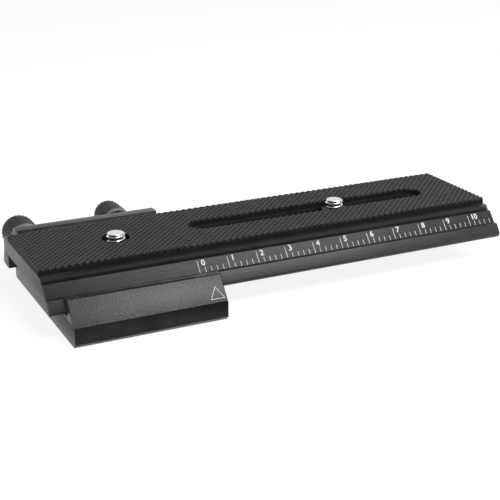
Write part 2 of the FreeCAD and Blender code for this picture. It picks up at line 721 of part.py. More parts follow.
def build_focus_rack():
    """The rack under the rail's back leg, with its teeth standing up into the groove."""
    body = piece("focus_rack")
    strip = sketch(body, "Strip", "YZ", RACK_LEFT)
    teeth_front = f"({GROOVE_FACE} + rack_side_gap)"
    outline(strip, [
        ("channel_back", FOOT),
        (PINION_BACK, FOOT),
        (PINION_BACK, f"{FOOT} + rack_body"),
        (GROOVE_FACE, f"{FOOT} + rack_body"),
        (GROOVE_FACE, f"{FOOT} + rack_web"),
        ("channel_back", f"{FOOT} + rack_web"),
    ])
    run(body, "Pad", strip, RACK_LENGTH)
    bar = sketch(body, "ToothBar", "YZ", RACK_LEFT)
    tip = f"({PITCH_LINE} + pinion_addendum)"
    rectangle(bar, teeth_front, PINION_BACK, f"{FOOT} + rack_body", tip)
    run(body, "Pad", bar, RACK_LENGTH)
    half_gap = f"({TOOTH_PITCH} / 4)"
    gap = sketch(body, "ToothGap", "XZ", f"0 - {PINION_BACK}")
    outline(gap, [
        (f"{RACK_LEFT} - {half_gap} + rack_dedendum * {FLANK}", f"{FOOT} + rack_body"),
        (f"{RACK_LEFT} + {half_gap} - rack_dedendum * {FLANK}", f"{FOOT} + rack_body"),
        (f"{RACK_LEFT} + {half_gap} + pinion_addendum * {FLANK}", tip),
        (f"{RACK_LEFT} - {half_gap} - pinion_addendum * {FLANK}", tip),
    ])
    cut = run(body, "Pocket", gap, f"{PINION_BACK} - {teeth_front}")
    row_along_x(body, "ToothGaps", cut, RACK_LENGTH, "rack_teeth + 1")
    for count, place in enumerate(RACK_SCREW_PLACES):
        countersink(body, f"Sink{count}", place)
    return body


def countersink(body, name, place):
    """Cuts one countersunk screw hole up through the rack, at a place along X."""
    hole = (place, RACK_SCREW_BACK, "rack_screw_radius + seat_clearance")
    drilled(body, f"{name}Hole", "XY", FOOT, "rack_web", [hole])
    cone = body.newObject("PartDesign::SubtractiveCone", f"{name}Cone")
    cone.setExpression("Radius1", formula("rack_screw_head_radius + seat_clearance"))
    cone.setExpression("Radius2", formula("rack_screw_radius"))
    cone.setExpression("Height", formula("rack_screw_head_radius - rack_screw_radius + seat_clearance"))
    for axis, position in (("x", place), ("y", RACK_SCREW_BACK), ("z", FOOT)):
        cone.setExpression(f"Placement.Base.{axis}", formula(position))
    DOC.recompute()


def build_rack_screws():
    """The row of countersunk screws that hold the rack."""
    body = piece("rack_screws", RACK_SCREW_PLACES[0], RACK_SCREW_BACK, FOOT)
    body.AllowCompound = True
    screw = turned(body, "Revolution", "Screw", "XZ", "V_Axis", [
        ("0", "0"),
        ("rack_screw_head_radius", "0"),
        ("rack_screw_radius", "rack_screw_head_radius - rack_screw_radius"),
        ("rack_screw_radius", "rack_screw_length"),
        ("0", "rack_screw_length"),
    ])
    row_along_x(body, "Screws", screw, f"{RACK_SCREWS - 1} * {RACK_SCREW_PITCH}", str(RACK_SCREWS))
    return body


def build_camera_screw(label, place):
    """A captive camera screw: thumb disc below the deck, slim neck, and the thread on top."""
    body = piece(label, place)
    turned(body, "Revolution", "Screw", "XZ", "V_Axis", [
        ("0", FOOT),
        ("screw_head_radius - screw_head_chamfer", FOOT),
        ("screw_head_radius", f"{FOOT} + screw_head_chamfer"),
        ("screw_head_radius", f"{HEAD_TOP} - screw_head_chamfer"),
        ("screw_head_radius - screw_head_chamfer", HEAD_TOP),
        ("screw_neck_radius", HEAD_TOP),
        ("screw_neck_radius", THREAD_LOW),
        ("screw_radius", THREAD_LOW),
        ("screw_radius", f"{SCREW_TOP} - screw_tip_chamfer"),
        ("screw_radius - screw_tip_chamfer", SCREW_TOP),
        ("0", SCREW_TOP),
    ])
    coin = sketch(body, "CoinSlot", "XY", FOOT)
    rectangle(coin, "0 - screw_head_radius - cut_margin", "screw_head_radius + cut_margin",
              "0 - coin_slot_width / 2", "coin_slot_width / 2")
    run(body, "Pocket", coin, "coin_slot_depth")
    return body


def build_screw_washer(label, place):
    """The fibre washer on a camera screw's thumb disc."""
    body = piece(label, place)
    turned(body, "Revolution", "Washer", "XZ", "V_Axis", [
        (BUSH_BORE, HEAD_TOP),
        ("screw_washer_radius", HEAD_TOP),
        ("screw_washer_radius", f"{HEAD_TOP} + screw_washer_thick"),
        (BUSH_BORE, f"{HEAD_TOP} + screw_washer_thick"),
    ])
    return body


def split_bush(body, flange_reach):
    """Cuts the slit that lets a bush snap over the screw's neck."""
    slit = sketch(body, "Slit", "XY", PLATE_LOW)
    rectangle(slit, "0", f"{flange_reach} + cut_margin", "0 - bush_split / 2", "bush_split / 2")
    run(body, "Pocket", slit, "plate_thick + stack_gap + bush_flange_thick")
    return body


def build_front_screw_bush():
    """The split bush that keeps the front camera screw captive in its hole."""
    body = piece("front_screw_bush", "front_screw_x")
    wall = "(plate_opening_width / 2 - bush_clearance)"
    turned(body, "Revolution", "Bush", "XZ", "V_Axis", [
        (BUSH_BORE, PLATE_LOW),
        (wall, PLATE_LOW),
        (wall, PLATE_TOP),
        ("bush_flange_radius", PLATE_TOP),
        ("bush_flange_radius", f"{PLATE_TOP} + bush_flange_thick"),
        (BUSH_BORE, f"{PLATE_TOP} + bush_flange_thick"),
    ])
    return split_bush(body, "bush_flange_radius")


def build_slot_guide():
    """The split guide that carries the second camera screw along the slot."""
    body = piece("slot_guide", "slot_screw_x")
    block = sketch(body, "Block", "XY", PLATE_LOW)
    obround(block, f"0 - {GUIDE_REACH}", GUIDE_REACH, GUIDE_HALF_WIDTH)
    run(body, "Pad", block, "plate_thick + stack_gap")
    flange = sketch(body, "Flange", "XY", f"{PLATE_TOP} + stack_gap")
    obround(flange, f"0 - {GUIDE_FLANGE_REACH}", GUIDE_FLANGE_REACH, "bush_flange_radius")
    run(body, "Pad", flange, "bush_flange_thick")
    bore_length = "plate_thick + stack_gap + bush_flange_thick"
    drilled(body, "NeckBore", "XY", PLATE_LOW, bore_length, [("0", "0", BUSH_BORE)])
    return split_bush(body, GUIDE_FLANGE_REACH)


SHAFT_PLACE = (SHAFT_X, "0", SHAFT_HEIGHT)
LOCK_PLACE = ("lock_x", "0", "lock_height")
PIECES = [
    build_base_block(),
    build_tripod_bush(),
    build_ring("lock_insert", LOCK_PLACE, LOCK_BORE, "lock_insert_radius", INSERT_FRONT, "base_back"),
    build_shaft_bush(),
    build_gib_set_screws(),
    build_ring("drag_washer", SHAFT_PLACE, SHAFT_BORE, "drag_washer_radius", "base_back", DRAG_BACK),
    build_gib_strip(),
    build_lock_knob(),
    build_lock_screw(),
    build_pinion_shaft(),
    build_ring("thrust_washer", SHAFT_PLACE, SHAFT_BORE, THRUST_RADIUS, THRUST_FRONT,
               f"{THRUST_FRONT} + thrust_washer_thick"),
    build_disc_spring(),
    build_focus_knob(),
    build_knob_set_screw(),
    build_rail_plate(),
    build_rubber_pad(),
    build_focus_rack(),
    build_rack_screws(),
    build_front_screw_bush(),
    build_screw_washer("front_screw_washer", "front_screw_x"),
    build_camera_screw("front_camera_screw", "front_screw_x"),
    build_slot_guide(),
    build_screw_washer("slot_screw_washer", "slot_screw_x"),
    build_camera_screw("slot_camera_screw", "slot_screw_x"),
]

DOC.recompute()
faults = [item.Name for item in DOC.Objects if "Invalid" in item.State or "Error" in item.State]
if faults:
    raise RuntimeError(f"failed to compute: {faults}")
os.makedirs("parts", exist_ok=True)
for body in PIECES:
    shape = body.Shape
    if shape.isNull() or not shape.isValid():
        raise RuntimeError(f"{body.Label} has no valid shape")
    shape.exportStep(f"parts/{body.Label}.step")
    print(f"{body.Label:20s} {len(shape.Solids)} solid(s) {shape.Volume:9.1f} mm3")
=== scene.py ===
"""Dresses the macro focusing rail: finishes, netted rubber, knurls, threads, scale and studio.

Lengths in this file are millimetres until they reach a mesh or a node, where MM turns them to metres.
"""

import logging
import math
from collections.abc import Iterable
from dataclasses import dataclass, field
from enum import Enum

import bmesh
import bpy
from mathutils import Matrix, Vector


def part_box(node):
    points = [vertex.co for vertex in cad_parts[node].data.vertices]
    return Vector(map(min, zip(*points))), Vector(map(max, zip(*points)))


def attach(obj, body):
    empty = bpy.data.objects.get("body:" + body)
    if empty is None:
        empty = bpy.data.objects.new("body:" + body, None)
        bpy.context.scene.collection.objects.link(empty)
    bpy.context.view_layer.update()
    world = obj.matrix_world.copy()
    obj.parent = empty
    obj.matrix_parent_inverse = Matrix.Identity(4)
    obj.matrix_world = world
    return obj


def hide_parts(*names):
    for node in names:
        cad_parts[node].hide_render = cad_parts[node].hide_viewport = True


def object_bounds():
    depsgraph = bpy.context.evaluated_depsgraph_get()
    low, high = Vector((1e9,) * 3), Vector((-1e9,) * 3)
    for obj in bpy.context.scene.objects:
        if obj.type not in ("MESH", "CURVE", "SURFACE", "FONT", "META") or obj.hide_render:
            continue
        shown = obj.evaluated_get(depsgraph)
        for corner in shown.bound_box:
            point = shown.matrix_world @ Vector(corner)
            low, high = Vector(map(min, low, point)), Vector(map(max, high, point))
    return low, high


MM = 0.001
LOG = logging.getLogger("macro_focusing_rail")

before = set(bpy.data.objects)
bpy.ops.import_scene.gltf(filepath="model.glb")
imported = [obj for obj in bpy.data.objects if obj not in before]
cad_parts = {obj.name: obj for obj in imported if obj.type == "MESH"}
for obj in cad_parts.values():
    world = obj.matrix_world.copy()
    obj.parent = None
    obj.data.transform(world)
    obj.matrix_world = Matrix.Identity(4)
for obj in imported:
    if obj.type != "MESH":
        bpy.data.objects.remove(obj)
CAD_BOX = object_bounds()

# Points that lie closer together than this are merged, in a copy of a CAD mesh and in a mesh made here
CAD_WELD = 0.002
WELD = 0.0005
# How near a point lies to a cutting plane, in metres, when it counts as on it
CUT_SLACK = 1e-7
# Faces that turn by fewer degrees than this are merged to one flat
FLAT_TURN = 0.6
# Edges that turn by more degrees than this are rounded, in so many strips
SHARP_TURN = 24
ROUND_STRIPS = 2
# Faces with this material index wear their piece's other finish
OTHER_FINISH = 1

# The sRGB curve: a straight foot up to the knee, then a power
SRGB_KNEE = 0.04045
SRGB_FOOT = 12.92
SRGB_LIFT = 0.055
SRGB_POWER = 2.4

# The sockets of a Mix node's two colours and of its result
MIX_FIRST = 6
MIX_SECOND = 7
MIX_RESULT = 2

# The detail of the two noises in a finish
FINE_DETAIL = 3.0
FINE_ROUGHNESS = 0.6
BROAD_DETAIL = 2.0
# The values that are spread over a finish: both noises' sum, the fine noise and a worn edge's pointiness
TONE_SPAN = (0.6, 1.4)
FINE_SPAN = (0.3, 0.7)
EDGE_SPAN = (0.53, 0.6)

WHITE = (1, 1, 1, 1)


def linear(colour: str) -> tuple[float, float, float, float]:
    """Turns an sRGB hex colour into a linear one.

    Args:
        colour: six hex digits, with or without a leading mark.

    Returns:
        Red, green, blue and alpha, with alpha at 1.
    """
    digits = colour.lstrip("#")
    parts = [int(digits[at:at + 2], 16) / 255 for at in (0, 2, 4)]
    red, green, blue = (
        part / SRGB_FOOT if part <= SRGB_KNEE else ((part + SRGB_LIFT) / (1 + SRGB_LIFT)) ** SRGB_POWER
        for part in parts)
    return red, green, blue, 1.0


def add_node(tree: bpy.types.NodeTree, kind: str, inputs: dict | None = None,
             **settings: object) -> bpy.types.Node:
    """Adds a shader node with its settings and links.

    Args:
        tree: the material's or world's node tree.
        kind: the node's type name.
        inputs: a value, or another node's output socket, for each named or numbered input.
        settings: attributes of the node itself.

    Returns:
        The new node.
    """
    node = tree.nodes.new(kind)
    for name, value in settings.items():
        setattr(node, name, value)
    for name, value in (inputs or {}).items():
        if isinstance(value, bpy.types.NodeSocket):
            tree.links.new(value, node.inputs[name])
        else:
            node.inputs[name].default_value = value
    return node


class Pattern(Enum):
    """How a surface was made, which sets the way its fine pattern runs."""

    GRAIN = (1.0, 1.0, 1.0)
    DRAWN = (0.03, 1.0, 1.0)
    TURNED_Y = (1.0, 0.08, 1.0)
    TURNED_Z = (1.0, 1.0, 0.08)


@dataclass(frozen=True)
class Finish:
    """One real material with its surface, and the node material that shows it.

    Grain and patch are the sizes of its fine and broad patterns. The grain is coarser than the real one
    where that would be too fine to show.
    """

    name: str
    colour: str
    second: str
    roughness: float
    spread: float
    metallic: float = 0.0
    specular: float = 0.5
    pattern: Pattern = Pattern.GRAIN
    grain: float = 0.25
    relief: float = 0.006
    patch: float = 6.0
    worn: str = ""
    wear: float = 0.0

    def material(self) -> bpy.types.Material:
        """Builds the node material once, and finds it each time after that.

        Returns:
            The material.
        """
        made = bpy.data.materials.get(self.name)
        if made is not None:
            return made
        made = bpy.data.materials.new(self.name)
        made.use_nodes = True
        tree = made.node_tree
        tree.nodes.clear()
        place = add_node(tree, "ShaderNodeTexCoord").outputs["Object"]
        run = add_node(tree, "ShaderNodeMapping", {
            "Vector": place, "Scale": self.pattern.value}).outputs["Vector"]
        fine = add_node(tree, "ShaderNodeTexNoise", {
            "Vector": run, "Scale": 1 / (self.grain * MM), "Detail": FINE_DETAIL,
            "Roughness": FINE_ROUGHNESS}).outputs["Fac"]
        broad = add_node(tree, "ShaderNodeTexNoise", {
            "Vector": place, "Scale": 1 / (self.patch * MM), "Detail": BROAD_DETAIL}).outputs["Fac"]
        colour = self.toned(tree, fine, broad)
        rough = add_node(tree, "ShaderNodeMapRange", {
            "Value": fine, "From Min": FINE_SPAN[0], "From Max": FINE_SPAN[1],
            "To Min": self.roughness - self.spread,
            "To Max": self.roughness + self.spread}).outputs["Result"]
        if self.wear:
            colour = self.rubbed(tree, colour, broad)
        bump = add_node(tree, "ShaderNodeBump", {
            "Height": fine, "Strength": 1.0, "Distance": self.relief * MM}).outputs["Normal"]
        shader = add_node(tree, "ShaderNodeBsdfPrincipled", {
            "Base Color": colour, "Roughness": rough, "Metallic": self.metallic,
            "Specular IOR Level": self.specular, "Normal": bump})
        add_node(tree, "ShaderNodeOutputMaterial", {"Surface": shader.outputs["BSDF"]})
        return made

    def toned(self, tree: bpy.types.NodeTree, fine: bpy.types.NodeSocket,
              broad: bpy.types.NodeSocket) -> bpy.types.NodeSocket:
        """Mixes the finish's two colours by its two noises.

        Args:
            tree: the material's node tree.
            fine: the fine noise.
            broad: the broad noise.

        Returns:
            The mixed colour.
        """
        both = add_node(tree, "ShaderNodeMath", {0: fine, 1: broad}, operation="ADD").outputs[0]
        tone = add_node(tree, "ShaderNodeMapRange", {
            "Value": both, "From Min": TONE_SPAN[0], "From Max": TONE_SPAN[1],
            "To Min": 0.0, "To Max": 1.0}).outputs["Result"]
        return add_node(tree, "ShaderNodeMix", {
            "Factor": tone, MIX_FIRST: linear(self.colour), MIX_SECOND: linear(self.second)},
            data_type="RGBA").outputs[MIX_RESULT]

    def rubbed(self, tree: bpy.types.NodeTree, colour: bpy.types.NodeSocket,
               broad: bpy.types.NodeSocket) -> bpy.types.NodeSocket:
        """Lightens the edges that handling rubs, in broken stretches.

        Args:
            tree: the material's node tree.
            colour: the colour away from the edges.
            broad: the noise that breaks the stretches up.

        Returns:
            The colour with its worn edges.
        """
        edge = add_node(tree, "ShaderNodeNewGeometry").outputs["Pointiness"]
        sharp = add_node(tree, "ShaderNodeMapRange", {
            "Value": edge, "From Min": EDGE_SPAN[0], "From Max": EDGE_SPAN[1],
            "To Min": 0.0, "To Max": self.wear}).outputs["Result"]
        broken = add_node(tree, "ShaderNodeMath", {0: sharp, 1: broad}, operation="MULTIPLY").outputs[0]
        return add_node(tree, "ShaderNodeMix", {
            "Factor": broken, MIX_FIRST: colour, MIX_SECOND: linear(self.worn)},
            data_type="RGBA").outputs[MIX_RESULT]


# Die-cast zinc alloy under a satin black coating: pebbled grey-black that glints, brighter on rubbed edges
CAST_ZINC = Finish("coated_cast_zinc", "#101011", "#1e1e1f", 0.3, 0.06, specular=0.27, grain=0.38,
                   relief=0.065, worn="#9a9a99", wear=0.6)
# The same coating, darker and less glossy as painted shade, on the faces upright along the rail and on the
# jaw's narrow top
CAST_SHADED = Finish("coated_cast_zinc_painted_shade", "#0b0b0c", "#151516", 0.5, 0.06, specular=0.1, grain=0.4,
                   relief=0.02, worn="#8a8a89", wear=0.5)
# Black anodised aluminium extrusion, blasted first: dark grey with a fine even sparkle
ANODISED = Finish("anodised_extrusion", "#131415", "#1f2021", 0.36, 0.06, specular=0.25, grain=0.42,
                  relief=0.075, worn="#5a5b5d", wear=0.3)
# Black anodised knobs, knurled after turning: the crests are rubbed lighter than the valleys
ANODISED_KNOB = Finish("anodised_knurled", "#1d1e20", "#2a2b2d", 0.32, 0.05, specular=0.5,
                       pattern=Pattern.TURNED_Y, grain=0.12, relief=0.004, worn="#a4a5a7", wear=1.6)
# The knobs' end faces, square to their axis, darkened nearly to black as painted shade
ANODISED_FACE_SHADED = Finish("anodised_face_painted_shade", "#0f1011", "#18191a", 0.5, 0.05, specular=0.15,
                       pattern=Pattern.TURNED_Y, grain=0.12, relief=0.004)
# Moulded rubber on top of the pad: matt dark grey, faintly mottled
RUBBER = Finish("moulded_rubber", "#2c2c2c", "#3b3b3b", 0.58, 0.06, specular=0.36, grain=0.18, relief=0.012)
# The pad's sides, the walls of its openings and its underside: the same rubber, smoother, and darker as
# painted shade
RUBBER_SIDE_SHADED = Finish("rubber_side_painted_shade", "#131313", "#1d1d1d", 0.6, 0.06, specular=0.12, grain=0.25,
                     relief=0.02)
# Turned stainless steel with fine tool rings
STAINLESS = Finish("turned_stainless", "#d8d8d7", "#e8e8e7", 0.28, 0.06, metallic=1.0,
                   pattern=Pattern.TURNED_Z, grain=0.1, relief=0.002)
# The same steel turned about the knobs' axis, a little darker and warmer
STAINLESS_SHAFT = Finish("turned_stainless_shaft", "#b4b1ab", "#c9c6c0", 0.28, 0.08, metallic=1.0,
                         pattern=Pattern.TURNED_Y, grain=0.1, relief=0.002)
# The root of a rolled thread, darkened nearly to black as painted shade against the bright crests
THREAD_ROOT_SHADED = Finish("thread_root_painted_shade", "#1c1b1a", "#2c2a28", 0.5, 0.08, metallic=0.4, grain=0.12,
                     relief=0.003)
# Black oxide on socket screws: nearly black with an oily sheen
BLACK_OXIDE = Finish("black_oxide_steel", "#1d1d1f", "#29292b", 0.4, 0.08, metallic=0.7, grain=0.12,
                     relief=0.003)
# Milled brass rack, strip and bushes, dulled by handling
BRASS = Finish("milled_brass", "#b08d4a", "#c9a660", 0.34, 0.08, metallic=1.0, pattern=Pattern.DRAWN,
               grain=0.14, relief=0.003)
# Machined acetal: dense black plastic with a waxy sheen
ACETAL = Finish("machined_acetal", "#1b1b1c", "#232324", 0.45, 0.06, specular=0.4, grain=0.2, relief=0.004)
# Vulcanised fibre washers: dull red, faintly mottled
FIBRE = Finish("vulcanised_fibre", "#6b241b", "#7c3226", 0.7, 0.08, specular=0.3, grain=0.3, relief=0.008)
# White ink of the scale and the index triangle: matt, a little uneven
INK = Finish("filled_white_ink", "#bdbdba", "#d2d2cf", 0.6, 0.05, specular=0.3, grain=0.15, relief=0.003)

NODE_FINISH = {
    "tripod_bush": STAINLESS,
    "lock_insert": BRASS,
    "shaft_bush": BRASS,
    "gib_set_screws": BLACK_OXIDE,
    "drag_washer": ACETAL,
    "gib_strip": BRASS,
    "lock_screw": STAINLESS_SHAFT,
    "pinion_shaft": STAINLESS_SHAFT,
    "thrust_washer": ACETAL,
    "disc_spring": STAINLESS_SHAFT,
    "knob_set_screw": BLACK_OXIDE,
    "focus_rack": BRASS,
    "rack_screws": BLACK_OXIDE,
    "front_screw_bush": ACETAL,
    "front_screw_washer": FIBRE,
    "slot_guide": ACETAL,
    "slot_screw_washer": FIBRE,
}


def place_piece(mesh: bmesh.types.BMesh, name: str, finish: Finish, body: str,
                nodes: Iterable[str] = (), smooth: float = 35.0, other: Finish | None = None) -> None:
    """Makes a scene piece of a finished mesh and hangs it on its body's empty.

    Args:
        mesh: the mesh, in metres and in the row frame; it is freed.
        name: the piece's name.
        finish: its finish.
        body: the body it rides on.
        nodes: the CAD nodes it stands for.
        smooth: edges sharper than this many degrees stay crisp.
        other: the finish of its faces with the index OTHER_FINISH.
    """
    data = bpy.data.meshes.new(name)
    mesh.to_mesh(data)
    mesh.free()
    for face in data.polygons:
        face.use_smooth = True
    data.set_sharp_from_angle(angle=math.radians(smooth))
    data.materials.append(finish.material())
    piece = bpy.data.objects.new(name, data)
    bpy.context.collection.objects.link(piece)
    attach(piece, body)
    if nodes:
        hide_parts(*nodes)
    if other:
        data.materials.append(other.material())
    LOG.info("%s: %d faces on %s", name, len(data.polygons), body)


def of_kind(geometry: Iterable, kind: type) -> list:
    """Lists what an operator gave back of one kind, such as its vertices."""
    return [item for item in geometry if isinstance(item, kind)]


def open_edges(mesh: bmesh.types.BMesh) -> list[bmesh.types.BMEdge]:
    """Lists the edges that have a face on one side only."""
    return [edge for edge in mesh.edges if edge.is_boundary]


def weld(mesh: bmesh.types.BMesh) -> None:
    """Merges the doubled points of a mesh made here."""
    bmesh.ops.remove_doubles(mesh, verts=mesh.verts, dist=WELD * MM)


def face_out(mesh: bmesh.types.BMesh) -> None:
    """Makes the faces of a mesh agree, and point outwards where it is closed."""
    bmesh.ops.recalc_face_normals(mesh, faces=mesh.faces)


def merged_copy(node: str) -> bmesh.types.BMesh:
    """Copies a CAD node's mesh, joins its loose triangles and merges its flat faces.

    Args:
        node: the CAD node's name.

    Returns:
        The copy.
    """
    mesh = bmesh.new()
    mesh.from_mesh(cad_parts[node].data)
    bmesh.ops.remove_doubles(mesh, verts=mesh.verts, dist=CAD_WELD * MM)
    bmesh.ops.dissolve_limit(mesh, angle_limit=math.radians(FLAT_TURN), verts=mesh.verts, edges=mesh.edges,
                             use_dissolve_boundaries=False)
    return mesh


def soften(mesh: bmesh.types.BMesh, width: float) -> None:
    """Rounds the sharp edges of a mesh.

    Args:
        mesh: the mesh to change.
        width: the width of the rounding.
    """
    sharp = math.radians(SHARP_TURN)
    edges = [edge for edge in mesh.edges if edge.is_manifold and edge.calc_face_angle(0.0) > sharp]
    bmesh.ops.bevel(mesh, geom=edges, offset=width * MM, offset_type="OFFSET", segments=ROUND_STRIPS,
                    profile=0.5, affect="EDGES", clamp_overlap=True, material=-1)


def spun(points: list[tuple[float, float]], axis: str, centre: Vector, steps: int = 96) -> bmesh.types.BMesh:
    """Spins an outline that starts and ends on its axis into a round piece.

    Args:
        points: pairs of distance along the axis and radius.
        axis: "Y" or "Z".
        centre: a point on the axis where the distance along it is nought.
        steps: how many flats the round has.

    Returns:
        The closed mesh, facing outwards.
    """
    mesh = bmesh.new()
    along = Vector((0, 1, 0)) if axis == "Y" else Vector((0, 0, 1))
    out = Vector((1, 0, 0))
    corners = [mesh.verts.new((centre + along * step + out * radius) * MM) for step, radius in points]
    edges = [mesh.edges.new(pair) for pair in zip(corners, corners[1:])]
    bmesh.ops.spin(mesh, geom=[*corners, *edges], cent=centre * MM, axis=along, angle=math.tau, steps=steps,
                   use_merge=True)
    weld(mesh)
    face_out(mesh)
    return mesh


def join_into(target: bmesh.types.BMesh, other: bmesh.types.BMesh) -> None:
    """Adds another mesh to a mesh and frees the other.

    Args:
        target: the mesh that grows.
        other: the mesh that is added.
    """
    data = bpy.data.meshes.new("joined")
    other.to_mesh(data)
    other.free()
    target.from_mesh(data)
    bpy.data.meshes.remove(data)


def tangents(centres: list[Vector], radius: float, steps: int) -> list[tuple[Vector, Vector]]:
    """Goes round equal circles with a taut band and lists the band's tangents.

    Args:
        centres: the circles' centres.
        radius: their radius.
        steps: how many tangents go round.

    Returns:
        A point of the band, in metres, and its outward direction for each tangent.
    """
    band = []
    for step in range(steps):
        angle = math.tau * step / steps
        outward = Vector((math.cos(angle), math.sin(angle), 0.0))
        furthest = max(centres, key=outward.dot)
        band.append(((furthest + outward * radius) * MM, outward))
    return band


def trim(mesh: bmesh.types.BMesh, band: list[tuple[Vector, Vector]]) -> None:
    """Cuts away what lies outside a band.

    Args:
        mesh: the sheet to cut.
        band: the outline's tangents.
    """
    for point, outward in band:
        everything = [*mesh.verts, *mesh.edges, *mesh.faces]
        bmesh.ops.bisect_plane(mesh, geom=everything, dist=CUT_SLACK, plane_co=point, plane_no=outward,
                               clear_outer=True)


def pierce(mesh: bmesh.types.BMesh, band: list[tuple[Vector, Vector]], spare: float) -> None:
    """Cuts away what lies inside a band.

    Args:
        mesh: the sheet to cut.
        band: the opening's tangents.
        spare: how far from the opening's box a face's middle may lie when the face is cut.
    """
    low, high = (Vector((pick(point.x for point, _ in band), pick(point.y for point, _ in band)))
                 for pick in (min, max))
    inside = []
    for face in mesh.faces:
        middle = face.calc_center_median()
        if low.x < middle.x + spare * MM and middle.x - spare * MM < high.x:
            if low.y < middle.y + spare * MM and middle.y - spare * MM < high.y:
                inside.append(face)
    for point, outward in band:
        edges = {edge for face in inside for edge in face.edges}
        corners = {corner for face in inside for corner in face.verts}
        split = bmesh.ops.bisect_plane(mesh, geom=[*corners, *edges, *inside], dist=CUT_SLACK,
                                       plane_co=point, plane_no=outward)
        faces = of_kind(split["geom"], bmesh.types.BMFace)
        inside = [face for face in faces if (face.calc_center_median() - point).dot(outward) < 0]
    bmesh.ops.delete(mesh, geom=inside, context="FACES")


def close_sheet(mesh: bmesh.types.BMesh, floor: float) -> None:
    """Turns a sheet into a slab with upright sides and a flat underside.

    Args:
        mesh: the sheet.
        floor: the height of the underside, in metres.
    """
    skirt = bmesh.ops.extrude_edge_only(mesh, edges=open_edges(mesh))["geom"]
    for corner in of_kind(skirt, bmesh.types.BMVert):
        corner.co.z = floor
    foot = [edge for edge in of_kind(skirt, bmesh.types.BMEdge) if edge.is_boundary]
    bmesh.ops.triangle_fill(mesh, use_beauty=False, use_dissolve=False, edges=foot)
    face_out(mesh)


def slope_axes(foot: Vector, head: Vector) -> tuple[Vector, Vector, Vector]:
    """Gives the directions of a sloped face that runs along the rail.

    Args:
        foot: a point at the foot of the slope.
        head: the point straight up the slope from it.

    Returns:
        The directions along the rail, up the slope and out of the face.
    """
    rise = (head - foot).normalized()
    side = Vector((1, 0, 0))
    return side, rise, side.cross(rise)


